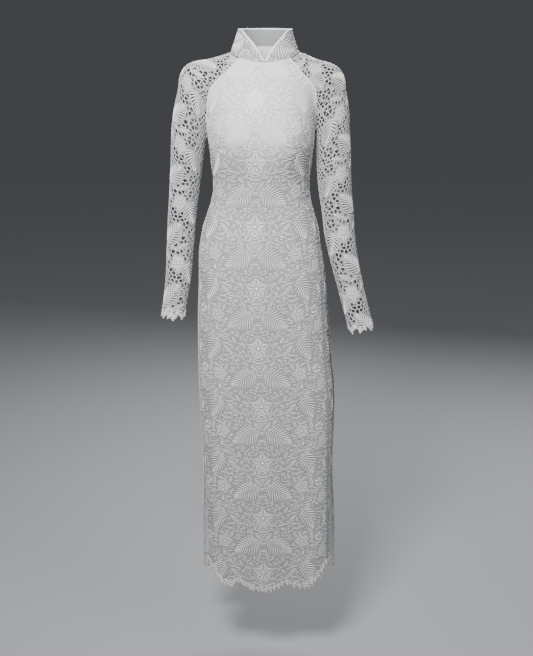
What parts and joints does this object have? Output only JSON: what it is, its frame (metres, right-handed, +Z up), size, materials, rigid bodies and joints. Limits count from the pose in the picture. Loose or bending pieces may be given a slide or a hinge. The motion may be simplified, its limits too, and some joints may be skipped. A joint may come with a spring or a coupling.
{
  "type": "ao dai tunic",
  "caption": "Long white lace ao dai tunic with a standing collar, raglan sleeves of open lace, satin lining and two hanging panels, hollow as when worn.",
  "frame": {"origin": "centre of the neck opening at the height of the collar seam, where the wearer's neck and shoulders hold the tunic", "axes": "+Z up along the tunic, from hem to collar; +Y towards the back of the tunic, so that its front faces -Y; +X towards the wearer's left sleeve"},
  "size_m": [0.4998, 0.2407, 1.4036],
  "materials": {
    "lace": "matte",
    "satin": "satin"
  },
  "bodies": {
    "root": {"front_lace": "lace", "back_lace": "lace", "front_lining": "satin", "back_lining": "satin", "sleeve_right_front": "lace", "sleeve_right_back": "lace", "sleeve_left_front": "lace", "sleeve_left_back": "lace", "collar": "lace", "collar_binding": "satin"}
  },
  "joints": []
}
